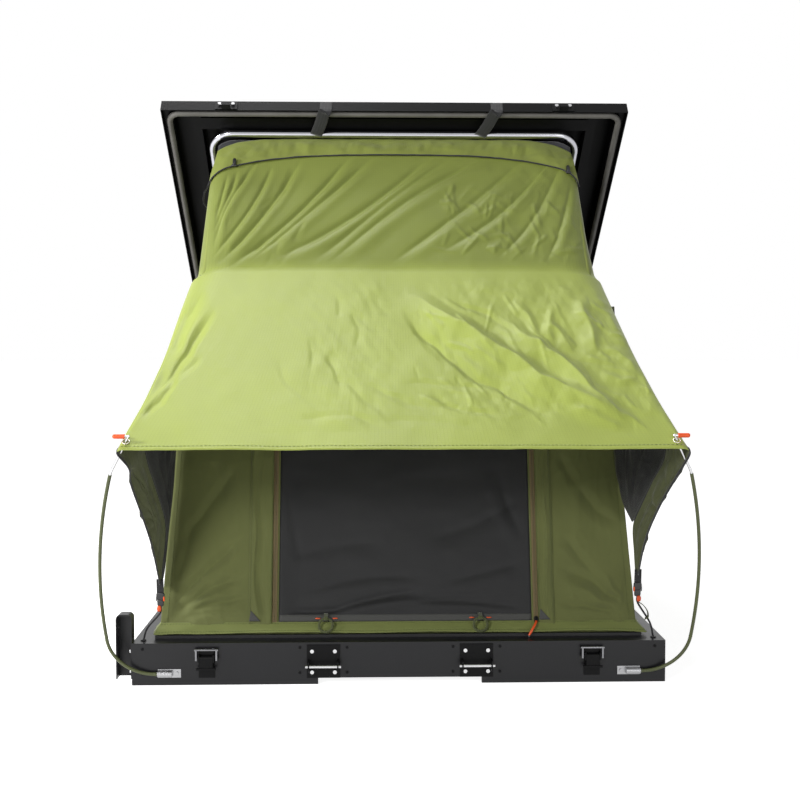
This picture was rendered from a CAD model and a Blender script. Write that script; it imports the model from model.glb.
"""Looks of the roof top tent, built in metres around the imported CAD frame."""
import math

import bpy
import numpy as np
from mathutils import Euler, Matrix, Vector


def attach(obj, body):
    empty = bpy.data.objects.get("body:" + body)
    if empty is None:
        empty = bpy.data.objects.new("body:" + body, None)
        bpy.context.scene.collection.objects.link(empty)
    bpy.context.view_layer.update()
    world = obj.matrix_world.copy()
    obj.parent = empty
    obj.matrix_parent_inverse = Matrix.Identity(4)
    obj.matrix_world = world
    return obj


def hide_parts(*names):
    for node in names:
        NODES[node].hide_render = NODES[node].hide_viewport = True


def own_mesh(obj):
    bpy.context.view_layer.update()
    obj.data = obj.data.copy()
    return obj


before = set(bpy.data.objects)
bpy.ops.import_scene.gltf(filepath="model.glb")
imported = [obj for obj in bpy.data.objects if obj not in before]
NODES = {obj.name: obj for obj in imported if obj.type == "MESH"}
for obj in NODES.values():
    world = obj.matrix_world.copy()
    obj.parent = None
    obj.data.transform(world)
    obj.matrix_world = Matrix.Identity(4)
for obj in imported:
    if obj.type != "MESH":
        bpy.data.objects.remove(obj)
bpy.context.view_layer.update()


# Small tools for values, vectors and paths
def mix(a, b, k):
    return a + (b - a) * k


def smooth(k):
    """Soft step from 0 to 1."""
    k = np.clip(k, 0, 1)
    return k * k * (3 - 2 * k)


def bell(x):
    return np.exp(-(x**2))


def unit(v):
    """Vectors brought to a length of 1."""
    return v / np.maximum(np.linalg.norm(v, axis=-1, keepdims=True), 1e-12)


def run_of(pts):
    """Length along a path up to each of its points."""
    return np.concatenate([[0], np.cumsum(np.linalg.norm(np.diff(pts, axis=0), axis=-1))])


def grid_of(first, second):
    """Two grids of values: the first changes from row to row, the second from column to column."""
    return np.meshgrid(first, second, indexing="ij")


def xyz(x, yz):
    """Points from their x and from their y and z."""
    return np.concatenate([x[..., None], yz], -1)


def link(name, data):
    """Object with the given data, put in the scene."""
    obj = bpy.data.objects.new(name, data)
    bpy.context.scene.collection.objects.link(obj)
    return obj


# Camera at the photograph's viewing angle
IMAGE_PX = 800
MID_PX = IMAGE_PX / 2
FOCAL_PX = 1181.06
SENSOR_MM = 36
CAM_AT = np.array([-0.0768, -3.8676, 0.8033])
CAM_TURN = Euler((math.radians(90 - 2.632), 0, math.radians(-1.576)))
CAM_AXES = np.array(CAM_TURN.to_matrix())
cam_data = bpy.data.cameras.new("camera")
cam_data.sensor_width = SENSOR_MM
cam_data.lens = SENSOR_MM * FOCAL_PX / IMAGE_PX
cam = link("camera", cam_data)
cam.location = CAM_AT
cam.rotation_euler = CAM_TURN
bpy.context.scene.camera = cam


def to_px(p):
    """Pixel x and y at which the camera sees points."""
    q = (p - CAM_AT) @ CAM_AXES
    return MID_PX - FOCAL_PX * q[..., 0] / q[..., 2], MID_PX + FOCAL_PX * q[..., 1] / q[..., 2]


def px_ray(px, py):
    """Direction in which the camera looks through a pixel."""
    return CAM_AXES @ np.array([(px - MID_PX) / FOCAL_PX, (MID_PX - py) / FOCAL_PX, -1])


def at_px(px, py, y):
    """Point with the given y that the camera sees at a pixel."""
    ray = px_ray(px, py)
    return CAM_AT + ray * (y - CAM_AT[1]) / ray[1]


# Sizes shared with the CAD source
LID_ANGLE = math.radians(37.7)
CT, ST = math.cos(LID_ANGLE), math.sin(LID_ANGLE)
HALF_W, HALF_L, RIM_Z = 0.635, 1.09, 0.1
HINGE = np.array([HALF_L + 0.009, RIM_Z])
LID_LEN = 2.189
RIM_INSET = 0.055
WALL_X, WALL_Y, WALL_Z = HALF_W - RIM_INSET - 0.001, 0.002 - HALF_L + RIM_INSET, RIM_Z + 0.001
WALL_TILT = math.tan(math.radians(3.15))
KNEE = np.array([-0.78163, 0.54077])
BOW_LEN, BOW_ANGLE = 0.43, math.radians(93)
BOW_TIP = KNEE + BOW_LEN * np.array([math.cos(BOW_ANGLE), math.sin(BOW_ANGLE)])
RIDGE = BOW_TIP + [-0.013, 0.014]
WALL_LEAN = math.atan2(RIDGE[0] - WALL_Y, RIDGE[1] - WALL_Z)
WALL_LEN = math.hypot(RIDGE[0] - WALL_Y, RIDGE[1] - WALL_Z)
DOOR_L, DOOR_R, SILL, DOOR_H = -0.293, 0.323, 0.034, 0.72
X_AXIS = np.array([1, 0, 0])


def lid_pt(t, d):
    """World y and z of a point t behind the open lid's front edge and d above its rim plane."""
    return np.array([HINGE[0] - (LID_LEN - t) * CT + d * ST, HINGE[1] + (LID_LEN - t) * ST + d * CT])


# Repeatable noise and folds for cloth, with places in pixels of the photo and heights in mm
def hashed(ix, iy, seed):
    """Numbers from -1 to 1 that look random, by an integer hash."""
    h = (ix.astype(np.int64) * 374761393 + iy.astype(np.int64) * 668265263 + seed * 974711) & 0xFFFFFFFF
    h = ((h ^ (h >> 13)) * 1274126177) & 0xFFFFFFFF
    return ((h ^ (h >> 16)) & 0xFFFF) / 32767.5 - 1


def noise(x, y, seed):
    ix, iy = np.floor(x), np.floor(y)
    fx, fy = smooth(x - ix), smooth(y - iy)
    low = mix(hashed(ix, iy, seed), hashed(ix + 1, iy, seed), fx)
    high = mix(hashed(ix, iy + 1, seed), hashed(ix + 1, iy + 1, seed), fx)
    return mix(low, high, fy)


def fbm(x, y, seed, octaves=3):
    """Noise with finer noise added to it."""
    return sum(noise(x * 2**k, y * 2**k, seed + k) / 2**k for k in range(octaves))


def creases(x, y, seed):
    """Sharp crumple lines, mostly flat between them."""
    wx = x + 0.5 * noise(x, y, seed + 7)
    wy = y + 0.5 * noise(x + 9, y, seed + 8)
    return sum((1 - np.abs(noise(wx * s, wy * s, seed + k))) ** 4 / s for k, s in enumerate((1, 1.9, 3.7)))


def folds(px, py, lines):
    """Long folds from point to point: a sharp valley with a soft roll beside it.

    Each line gives its two ends, its width and its height."""
    out = np.zeros_like(px)
    for x0, y0, x1, y1, width, amp in lines:
        dx, dy = x1 - x0, y1 - y0
        size = math.hypot(dx, dy)
        t = ((px - x0) * dx + (py - y0) * dy) / size**2
        wander = 1.2 * np.sin(4.3 * t + x0) + 0.05 * size * np.sin(math.pi * t) * math.sin(y0)
        d = ((px - x0) * -dy + (py - y0) * dx) / size + wander
        ends = smooth(t / 0.35 + 0.25) * smooth((1 - t) / 0.35 + 0.25)
        roll = 0.6 * bell((d - 2.6 * width) / (1.7 * width))
        valley = 1 / (1 + (d / width) ** 2) ** 1.5
        out += amp * ends * (roll - valley)
    return out


CREST_REACH = 1.8


def crests(px, py, lines):
    """Sharp ridges, or valleys where the height is negative, along polylines.

    Each line gives its points, its height and how far it runs out to its left and right."""
    all_x = (px + 1.8 * noise(px / 15, py / 15, 3)).ravel()
    all_y = (py + 1.8 * noise(px / 15 + 40, py / 15, 5)).ravel()
    out = np.zeros_like(all_x)
    for pts, amp, left, right in lines:
        pts = np.array(pts, float)
        run = run_of(pts)
        (x0, y0), (x1, y1) = pts.min(axis=0), pts.max(axis=0)
        far = CREST_REACH * max(left, right)
        near_by = (all_x > x0 - far) & (all_x < x1 + far) & (all_y > y0 - far) & (all_y < y1 + far)
        x, y = all_x[near_by], all_y[near_by]
        best, dist, t = np.full(x.shape, np.inf), np.zeros_like(x), np.zeros_like(x)
        for start, size, (fx, fy), (dx, dy) in zip(run, np.diff(run), pts, np.diff(pts, axis=0)):
            a = np.clip(((x - fx) * dx + (y - fy) * dy) / size, 0, size)
            ex, ey = x - fx - dx * a / size, y - fy - dy * a / size
            q = ex * ex + ey * ey
            nearer = q < best
            dist = np.where(nearer, np.copysign(np.sqrt(q), ey * dx - ex * dy), dist)
            t = np.where(nearer, (start + a) / run[-1], t)
            best = np.minimum(best, q)
        ends = smooth(t * 3.2 + 0.08) * smooth((1 - t) * 3.2 + 0.08)
        flank = 1 - np.sqrt(dist * dist + 0.4) / (CREST_REACH * np.where(dist > 0, left, right))
        out[near_by] += amp * ends * np.clip(flank, 0, 1) ** 1.35
    return out.reshape(px.shape)


def scatter(count, seed, box, turn, spread, size, width, amp):
    """Lines for crests: short wrinkles strewn over a box, mostly along one direction."""
    k = np.arange(count)
    r = [(hashed(k, k * 0 + j, seed) + 1) / 2 for j in range(6)]
    mid = np.stack([mix(box[0], box[2], r[0]), mix(box[1], box[3], r[1])], -1)
    a = np.radians(turn + spread * (2 * r[2] - 1))
    half = np.stack([np.cos(a), np.sin(a)], -1) * (size * (0.5 + r[3]) / 2)[:, None]
    tall, left = amp * (0.4 + r[4]), width * (0.7 + r[5])
    return [((m - h, m + h), t, w, width) for m, h, t, w in zip(mid, half, tall, left)]


def crumple(px, py, seed, size):
    """Flat facets with sharp creases between them, as in cloth that was packed away."""
    wx = px + 0.5 * size * noise(px / size / 2, py / size / 2, seed)
    wy = py + 0.5 * size * noise(px / size / 2 + 7, py / size / 2, seed + 1)
    out = np.zeros_like(px)
    for k in range(5):
        turn, pitch = 0.35 + 1.13 * k + 0.21 * seed, 0.8 + 0.33 * k
        t = (math.cos(turn) * wx + math.sin(turn) * wy) / (size * pitch) + 0.37 * k
        out += (np.abs(t - np.floor(t) - 0.5) - 0.25) * pitch
    return out


# Mesh tools. What ends in parts gives vertices, faces and texture coordinates
def finish_mesh(name, verts, faces, mat, uvs=None, flat=False):
    me = bpy.data.meshes.new(name)
    me.from_pydata(np.asarray(verts).tolist(), [], faces)
    if uvs is not None:
        layer = me.uv_layers.new(name="UVMap")
        loops = np.empty(len(me.loops), np.int32)
        me.loops.foreach_get("vertex_index", loops)
        layer.data.foreach_set("uv", np.asarray(uvs, np.float32)[loops].ravel())
    me.polygons.foreach_set("use_smooth", [not flat] * len(me.polygons))
    me.materials.append(mat)
    me.update()
    return link(name, me)


def join_parts(name, parts, mat):
    verts, faces, uvs, base = [], [], [], 0
    for v, f, t in parts:
        verts.append(v)
        faces += [[i + base for i in face] for face in f]
        uvs.append(t)
        base += len(v)
    return finish_mesh(name, np.concatenate(verts), faces, mat, np.concatenate(uvs))


def grid_normals(p):
    return unit(np.cross(np.gradient(p, axis=0), np.gradient(p, axis=1)))


def grid_uv(p):
    """Texture coordinates in metres, by the mean length along each way of the grid."""
    sizes = [np.linalg.norm(np.diff(p, axis=k), axis=-1).mean(axis=1 - k) for k in (0, 1)]
    return np.stack(grid_of(*(np.concatenate([[0], np.cumsum(s)]) for s in sizes)), -1)


def area_of(p):
    """Area of a grid of points, by its triangles."""
    a, b, c, d = p[:-1, :-1], p[1:, :-1], p[1:, 1:], p[:-1, 1:]
    t = np.linalg.norm(np.cross(b - a, c - a), axis=-1) + np.linalg.norm(np.cross(c - a, d - a), axis=-1)
    return float(t.sum() / 2)


def shell_parts(top, low, uv, keep=None):
    """Closed body between two grids of points. keep says which cells of the grids it covers."""
    n, m = top.shape[:2]
    idx = np.arange(n * m).reshape(n, m)
    keep = np.ones((n - 1, m - 1), bool) if keep is None else keep
    a, b, c, d = idx[:-1, :-1], idx[1:, :-1], idx[1:, 1:], idx[:-1, 1:]
    quads = np.stack([a, b, c, d], -1)[keep]
    faces = [quads, quads[:, ::-1] + n * m]
    pad = np.pad(keep, 1)
    for row, col, first, last in ((0, -1, a, b), (1, 0, b, c), (0, 1, c, d), (-1, 0, d, a)):
        rim = keep & ~pad[1 + row:n + row, 1 + col:m + col]
        e, s = last[rim], first[rim]
        faces.append(np.stack([e, s, s + n * m, e + n * m], -1))
    verts = np.concatenate([top.reshape(-1, 3), low.reshape(-1, 3)])
    return verts, np.concatenate(faces).tolist(), np.concatenate([uv.reshape(-1, 2)] * 2)


def slab_parts(p, thick, uv=None, keep=None):
    """Closed sheet of even thickness round a grid of points."""
    off = grid_normals(p) * thick / 2
    return shell_parts(p + off, p - off, grid_uv(p) if uv is None else uv, keep)


def frames(pts):
    """Tangents and two cross axes that turn smoothly along a path."""
    t = unit(np.gradient(pts, axis=0))
    n = np.cross(t[0], [0, 0, 1] if abs(t[0][2]) < 0.9 else [1, 0, 0])
    cross = np.empty_like(t)
    for k, tangent in enumerate(t):
        n = unit(n - tangent * (n @ tangent))
        cross[k] = n
    return t, cross, np.cross(t, cross)


def skin_faces(rows, k):
    """Faces between rings of k points each."""
    ids = np.arange(rows * k).reshape(rows, k)
    nxt = np.roll(ids, -1, axis=1)
    return np.stack([ids[:-1], nxt[:-1], nxt[1:], ids[1:]], -1).reshape(-1, 4).tolist()


def loft_parts(rings, along, across):
    """Skin over rings of points, closed at both ends."""
    n, k = rings.shape[:2]
    faces = skin_faces(n, k) + [list(range(k))[::-1], list(range((n - 1) * k, n * k))]
    return rings.reshape(-1, 3), faces, np.stack(grid_of(along, across), -1).reshape(-1, 2)


def tube_parts(pts, radius, sides=12):
    pts = np.asarray(pts, float)
    radius = np.broadcast_to(np.asarray(radius, float), len(pts))[:, None, None]
    _, a, b = frames(pts)
    turn = np.arange(sides) * 2 * math.pi / sides
    ring = np.cos(turn)[:, None] * a[:, None] + np.sin(turn)[:, None] * b[:, None]
    return loft_parts(pts[:, None] + radius * ring, run_of(pts), turn * 0.01)


STRAP_SHAPE = np.array([(-1, -0.5), (-0.86, -1), (0.86, -1), (1, -0.5),
                        (1, 0.5), (0.86, 1), (-0.86, 1), (-1, 0.5)])


def ribbon_parts(pts, side, width, thick):
    """Flat strap along a path, with its width along side and slightly rounded edges."""
    pts = np.asarray(pts, float)
    t = frames(pts)[0]
    side = np.broadcast_to(np.asarray(side, float), pts.shape)
    side = unit(side - t * np.sum(side * t, axis=1, keepdims=True))
    across, up = (STRAP_SHAPE * [width / 2, thick / 2]).T
    ring = across[:, None] * side[:, None] + up[:, None] * np.cross(t, side)[:, None]
    return loft_parts(pts[:, None] + ring, run_of(pts), across)


def pillow_parts(centre, axes, size, power=4.0, n=10):
    """Rounded block: a superellipsoid with its own three axes."""
    lat = np.linspace(-math.pi / 2, math.pi / 2, n + 1)
    lon = np.linspace(-math.pi, math.pi, 2 * n + 1)[:-1]
    la, lo = grid_of(lat, lon)
    ball = np.stack([np.cos(la) * np.cos(lo), np.cos(la) * np.sin(lo), np.sin(la)], -1)
    local = np.sign(ball) * np.abs(ball) ** (2 / power)
    p = np.asarray(centre) + (local * np.asarray(size) / 2) @ unit(np.array(axes, float))
    verts = np.concatenate([p[1:-1].reshape(-1, 3), [p[0, 0]], [p[-1, 0]]])
    rows, k = n - 1, len(lon)
    low, high = rows * k, rows * k + 1
    last = low - k
    faces = skin_faces(rows, k)
    faces += [[low, (i + 1) % k, i] for i in range(k)]
    faces += [[high, last + i, last + (i + 1) % k] for i in range(k)]
    return verts, faces, verts[:, :2]


THREAD_R = 0.0006


def stitch_parts(pts, normal, pitch=0.007, size=0.005):
    """Row of thread stitches along a path, lying on a surface with the given normal."""
    pts = np.asarray(pts, float)
    run = run_of(pts)
    parts = []
    for s in np.arange(pitch, run[-1] - pitch, pitch):
        ends = (s - size / 2, s + size / 2)
        a, b = np.stack([np.interp(ends, run, pts[:, k]) for k in range(3)], -1)
        mid = (a + b) / 2 + np.asarray(normal) * THREAD_R
        parts.append(tube_parts([a, mid, b], [THREAD_R / 2, THREAD_R, THREAD_R / 2], 4))
    return parts


def curve_pts(ctrl, n=40):
    """Smooth path through control points."""
    ctrl = np.asarray(ctrl, float)
    k = np.linspace(0, len(ctrl) - 1, n)
    ext = np.concatenate([[2 * ctrl[0] - ctrl[1]], ctrl, [2 * ctrl[-1] - ctrl[-2]]])
    i = np.minimum(k.astype(int), len(ctrl) - 2)
    f = (k - i)[:, None]
    p0, p1, p2, p3 = ext[i], ext[i + 1], ext[i + 2], ext[i + 3]
    return 0.5 * (2 * p1 + (p2 - p0) * f + (2 * p0 - 5 * p1 + 4 * p2 - p3) * f**2
                  + (3 * p1 - p0 - 3 * p2 + p3) * f**3)


def even(pts, n):
    """Path resampled at even steps."""
    run = run_of(pts)
    return np.stack([np.interp(np.linspace(0, run[-1], n), run, pts[:, k]) for k in range(3)], -1)


def ring_path(centre, up, r, n):
    """Path round a ring that starts along x and turns towards up, with an overlap that closes it."""
    a = np.arange(n + 2) * 2 * math.pi / n
    return centre + r * (np.cos(a)[:, None] * X_AXIS + np.sin(a)[:, None] * up), a


# Materials
WAVE_PERIOD = 0.314159  # a wave texture's period in metres at scale 1


def srgb(r, g, b):
    def lin(c):
        c /= 255
        return c / 12.92 if c <= 0.04045 else ((c + 0.055) / 1.055) ** 2.4
    return (lin(r), lin(g), lin(b), 1)


def grey(level):
    """Slightly cool grey of bare metal."""
    return (level, level, level + 0.01, 1)


def tint(c, k):
    return (min(1, c[0] * k), min(1, c[1] * k), min(1, c[2] * k), 1)


class Nodes:
    """Node tree with a few helpers."""

    def __init__(self, owner, shader):
        owner.use_nodes = True
        self.tree = owner.node_tree
        self.shader = self.tree.nodes[shader]

    def add(self, kind, links=(), **settings):
        n = self.tree.nodes.new(kind)
        for key, value in settings.items():
            if hasattr(n, key):
                setattr(n, key, value)
            else:
                n.inputs[key.replace("_", " ")].default_value = value
        for socket, source in dict(links).items():
            self.tree.links.new(source, n.inputs[socket])
        return n

    def coords(self, kind="Object", scale=(1, 1, 1)):
        c = self.add("ShaderNodeTexCoord")
        return self.add("ShaderNodeMapping", {"Vector": c.outputs[kind]}, Scale=scale).outputs["Vector"]

    def noise(self, vec, scale, detail=3.0):
        n = self.add("ShaderNodeTexNoise", {"Vector": vec}, Scale=scale, Detail=detail, Roughness=0.55)
        return n.outputs["Fac"]

    def wave(self, vec, period, direction, distortion=0.0):
        n = self.add("ShaderNodeTexWave", {"Vector": vec}, bands_direction=direction,
                     Scale=WAVE_PERIOD / period, Distortion=distortion)
        return n.outputs["Fac"]

    def math(self, op, a, b):
        n = self.add("ShaderNodeMath", operation=op)
        for k, v in enumerate((a, b)):
            if isinstance(v, (int, float)):
                n.inputs[k].default_value = v
            else:
                self.tree.links.new(v, n.inputs[k])
        return n.outputs["Value"]

    def share(self, a, b, part):
        """Two values added, with this part of the first and the rest of the second."""
        return self.math("ADD", self.math("MULTIPLY", a, part), self.math("MULTIPLY", b, 1 - part))

    def ramp(self, fac, stops):
        n = self.add("ShaderNodeValToRGB", {"Fac": fac})
        els = n.color_ramp.elements
        while len(els) < len(stops):
            els.new(0.5)
        for e, (pos, col) in zip(els, stops):
            e.position = pos
            e.color = col
        return n.outputs["Color"]

    def span(self, fac, low, high):
        return self.add("ShaderNodeMapRange", {"Value": fac}, To_Min=low, To_Max=high).outputs["Result"]

    def seen_by(self, *kinds):
        """1 for rays of the given kinds and 0 for others."""
        path = self.add("ShaderNodeLightPath")
        seen, *others = (path.outputs[f"Is {kind} Ray"] for kind in kinds)
        for other in others:
            seen = self.math("MAXIMUM", seen, other)
        return seen

    def put(self, socket, source):
        self.tree.links.new(source, self.shader.inputs[socket])


class Mat(Nodes):
    """Principled material."""

    def __init__(self, name, **sockets):
        self.mat = bpy.data.materials.new(name)
        super().__init__(self.mat, "Principled BSDF")
        for key, value in sockets.items():
            self.shader.inputs[key.replace("_", " ")].default_value = value

    def bump(self, height, strength, distance):
        n = self.add("ShaderNodeBump", {"Height": height}, Strength=strength, Distance=distance)
        self.put("Normal", n.outputs["Normal"])


def cloth(name, colour, pitch, grid=0.0, rough=0.75, sheen=0.25, vary=0.12, weave=0.35, gloss=0.3,
          deep=None):
    """Woven cloth: weave and ripstop grid by metres of cloth, with blotchy colour and uneven sheen.

    deep gives a length of cloth beyond which it is less bleached, and how much darker it is there."""
    m = Mat(name, Sheen_Weight=sheen, Sheen_Roughness=0.5, Specular_IOR_Level=gloss)
    uv = m.coords("UV")
    big = m.noise(m.coords(), 5.0, 4.0)
    fine = m.noise(uv, 420.0, 2.0)
    height = m.math("MULTIPLY", m.wave(uv, pitch, "X", 0.6), m.wave(uv, pitch, "Y", 0.6))
    tone = m.share(big, fine, 0.7)
    if grid:
        across, along = (m.math("POWER", m.wave(uv, grid, way), 14.0) for way in "XY")
        lines = m.math("MAXIMUM", across, along)
        tone = m.math("SUBTRACT", tone, m.math("MULTIPLY", lines, 0.22))
        height = m.math("ADD", height, m.math("MULTIPLY", lines, 1.5))
    stops = [(0.22, tint(colour, 1 - vary)), (0.5, colour), (0.78, tint(colour, 1 + vary))]
    if deep:
        start, shade = deep
        length = m.add("ShaderNodeSeparateXYZ", {"Vector": uv}).outputs["Y"]
        bright = m.add("ShaderNodeMapRange", {"Value": length}, From_Min=start - 0.004,
                       From_Max=start + 0.045, To_Min=0.5, To_Max=0.0)
        tone = m.math("ADD", m.math("MULTIPLY", tone, 0.5), bright.outputs["Result"])
        stops = [(p / 2, tint(c, shade)) for p, c in stops] + [(0.5 + p / 2, c) for p, c in stops]
    m.put("Base Color", m.ramp(tone, stops))
    m.put("Roughness", m.span(m.math("MULTIPLY", fine, big), rough - 0.08, rough + 0.12))
    m.bump(height, weave, pitch * 0.25)
    return m.mat


def coated(name, colour, rough, grain=0.00012, gloss=0.4, vary=0.2):
    """Powder coated metal: fine orange-peel grain, light dust and rubbed patches."""
    m = Mat(name, Specular_IOR_Level=gloss)
    obj = m.coords()
    grainy, patch = m.noise(obj, 1400.0, 2.0), m.noise(obj, 6.0, 5.0)
    stops = [(0.25, tint(colour, 1 - vary)), (0.55, colour), (0.8, tint(colour, 1 + vary * 1.6))]
    m.put("Base Color", m.ramp(m.share(patch, grainy, 0.75), stops))
    m.put("Roughness", m.span(patch, rough - 0.08, rough + 0.12))
    m.bump(grainy, 0.35, grain)
    return m.mat


def metal(name, colour, rough, stretch=(40, 900, 900), vary=0.1):
    """Bare metal with drawn or brushed streaks."""
    m = Mat(name, Metallic=1.0)
    streak = m.noise(m.coords("Object", stretch), 1.0)
    patch = m.noise(m.coords(), 30.0)
    m.put("Base Color", m.ramp(streak, [(0.3, tint(colour, 1 - vary)), (0.7, tint(colour, 1 + vary))]))
    m.put("Roughness", m.span(m.math("MULTIPLY", streak, patch), rough * 0.6, rough * 1.9))
    m.bump(streak, 0.12, 0.0002)
    return m.mat


def moulded(name, colour, rough, scale=700.0, vary=0.18):
    """Moulded plastic or rubber with a fine skin."""
    m = Mat(name)
    obj = m.coords()
    skin, patch = m.noise(obj, scale, 2.0), m.noise(obj, 18.0)
    m.put("Base Color", m.ramp(patch, [(0.3, tint(colour, 1 - vary)), (0.7, tint(colour, 1 + vary))]))
    m.put("Roughness", m.span(skin, rough - 0.1, rough + 0.12))
    m.bump(skin, 0.3, 0.0002)
    return m.mat


def webbing(name, colour):
    """Woven tape: close cross ribs in two rows."""
    m = Mat(name, Sheen_Weight=0.3, Specular_IOR_Level=0.3)
    uv = m.coords("UV")
    ribs = m.math("MULTIPLY", m.wave(uv, 0.0022, "X"), m.span(m.wave(uv, 0.008, "Y"), 0.6, 1.0))
    fuzz = m.noise(uv, 500.0, 2.0)
    stops = [(0.2, tint(colour, 0.6)), (0.8, tint(colour, 1.5))]
    m.put("Base Color", m.ramp(m.share(ribs, fuzz, 0.6), stops))
    m.put("Roughness", m.span(fuzz, 0.6, 0.9))
    m.bump(ribs, 0.5, 0.0006)
    return m.mat


GREEN = srgb(157, 170, 77)
FADED_GREEN = srgb(136, 146, 68)
OLIVE = srgb(99, 104, 58)
DEEP_BLACK = srgb(7, 7, 8)
M = {
    "fly": cloth("fly_cloth", GREEN, 0.0008, grid=0.0065, rough=0.47, sheen=0.1, vary=0.1, gloss=0.36,
                 deep=(0.664, 0.62)),
    "band": cloth("band_cloth", FADED_GREEN, 0.0008, grid=0.0065, rough=0.5, sheen=0.1, vary=0.1, gloss=0.4),
    "canvas": cloth("wall_canvas", OLIVE, 0.0013, rough=0.8, vary=0.1, weave=0.5),
    "canvas_light": cloth("skirt_cloth", srgb(112, 120, 64), 0.0011, rough=0.65, vary=0.1),
    "canvas_dark": cloth("wing_cloth", srgb(78, 82, 50), 0.0010, rough=0.7, vary=0.14),
    "door": cloth("door_cloth", srgb(17, 17, 18), 0.0016, rough=0.6, sheen=0.15, vary=0.16, weave=0.5),
    "mesh": cloth("fine_mesh", srgb(26, 26, 27), 0.0022, rough=0.6, sheen=0.15, vary=0.2, weave=0.8),
    "black_cloth": cloth("black_cloth", srgb(44, 45, 48), 0.0012, vary=0.15),
    "bed": cloth("bed_cover", srgb(128, 130, 122), 0.0018, grid=0.012, rough=0.85, vary=0.08),
    "patch": cloth("grey_patch", srgb(70, 70, 68), 0.0012),
    "thread": moulded("sewing_thread", srgb(84, 94, 48), 0.7),
    "thread_fly": moulded("fly_thread", srgb(120, 134, 60), 0.7),
    "web": webbing("black_webbing", srgb(30, 30, 32)),
    "web_olive": webbing("olive_webbing", srgb(74, 80, 46)),
    "zip": webbing("zip_tape", srgb(112, 98, 66)),
    "zip_teeth": moulded("zip_teeth", srgb(82, 70, 48), 0.4),
    "shell": coated("shell_coat", srgb(15, 15, 18), 0.3, gloss=0.3),
    "lid": coated("lid_coat", DEEP_BLACK, 0.4, gloss=0.1),
    "tube": coated("frame_tube", DEEP_BLACK, 0.42, gloss=0.1),
    "bracket": coated("black_bracket", srgb(8, 8, 9), 0.4, gloss=0.12),
    "floor": coated("floor_board", srgb(70, 70, 70), 0.6, grain=0.0003),
    "strut": coated("strut_coat", srgb(20, 20, 21), 0.3),
    "steel": metal("bright_steel", grey(0.56), 0.22),
    "socket": metal("socket_steel", grey(0.34), 0.3),
    "bail": metal("dark_steel_wire", grey(0.2), 0.2),
    "alu": metal("satin_tube", grey(0.42), 0.14, (60, 700, 700)),
    "rail": metal("rail_metal", grey(0.58), 0.38),
    "chrome": metal("strut_chrome", (0.72, 0.72, 0.72, 1), 0.1, (900, 40, 900), 0.04),
    "brass": metal("plated_ring", (0.64, 0.6, 0.52, 1), 0.25),
    "hoop": metal("hoop_tube", srgb(176, 176, 182), 0.14),
    "seal": moulded("seal_rubber", srgb(92, 90, 86), 0.6, 900),
    "track": moulded("track_rubber", srgb(20, 20, 21), 0.5),
    "plastic": moulded("black_plastic", srgb(26, 26, 27), 0.42),
    "orange": moulded("orange_rubber", srgb(235, 88, 32), 0.45),
    "pole": moulded("pole_sleeve", srgb(72, 78, 42), 0.5, 1500),
}

# Lights, backdrop and floor
WORLD_LIGHT = 0.15
FLOOR_GLOW = 0.86
WHITE = (1, 1, 1, 1)
world = bpy.data.worlds.new("studio")
bpy.context.scene.world = world
sky = Nodes(world, "Background")
sky.shader.inputs["Color"].default_value = WHITE
sky.put("Strength", sky.span(sky.seen_by("Camera", "Glossy", "Transmission"), WORLD_LIGHT, 1.0))
bpy.context.scene.view_settings.view_transform = "Standard"


def lamp(name, at, target, power, size):
    data = bpy.data.lights.new(name, "AREA")
    data.energy = power
    data.shape = "RECTANGLE"
    data.size, data.size_y = size
    obj = link(name, data)
    obj.location = at
    obj.rotation_euler = (Vector(target) - Vector(at)).to_track_quat("-Z", "Y").to_euler()


lamp("key", (-0.9, 0.5, 4.8), (-0.1, -0.9, 0.8), 96, (1.6, 1.6))
lamp("side", (-3.5, -1.8, 2.0), (0, -0.9, 0.8), 120, (0.7, 1.0))
lamp("fill", (-2.4, -4.6, 2.0), (0, -0.9, 0.5), 92, (1.1, 0.9))
lamp("front", (2.2, -5.0, 0.85), (0, -0.9, 0.4), 26, (2.2, 1.4))

floor_mat = Mat("pale_floor", Roughness=0.9, Specular_IOR_Level=0.1, Emission_Color=WHITE)
soft = floor_mat.noise(floor_mat.coords(), 3.0)
floor_mat.put("Base Color", floor_mat.ramp(soft, [(0.3, (0.8, 0.8, 0.8, 1)), (0.7, (0.82, 0.82, 0.82, 1))]))
glow = floor_mat.math("MULTIPLY", floor_mat.seen_by("Camera", "Glossy"), FLOOR_GLOW)
floor_mat.put("Emission Strength", glow)
corners = [(x, y, -0.001) for x, y in ((-40, -40), (40, -40), (40, 60), (-40, 60))]
floor = finish_mesh("floor", corners, [[0, 1, 2, 3]], floor_mat.mat, flat=True)


# Making soft pieces that fold away as the lid shuts
def dress(obj, nodes):
    if nodes:
        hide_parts(*nodes)
    return obj


def lid_piece(name, parts, finish, slot, *nodes, at=0.0145, tilt=2.3):
    """Piece carried by the lid and pressed flat in it as it shuts. The tilt draws the awning's edge in."""
    obj = join_parts(name, parts, M[finish])
    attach(obj, "lid")
    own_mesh(obj)
    return dress(obj, nodes)


def base_piece(name, parts, finish, slot, *nodes, at=0.0963, keep=0.0025, body="base"):
    """Piece carried by the base, which sinks between the hoop and the folded bow as the lid shuts."""
    obj = join_parts(name, parts, M[finish])
    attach(obj, body)
    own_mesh(obj)
    return dress(obj, nodes)


LEAST_SHARE = 0.305  # least share of its flat size that a sheet's area is given as


def declare(width, length, area):
    whole = width * length
    area = min(max(area, LEAST_SHARE * whole), whole)


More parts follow.
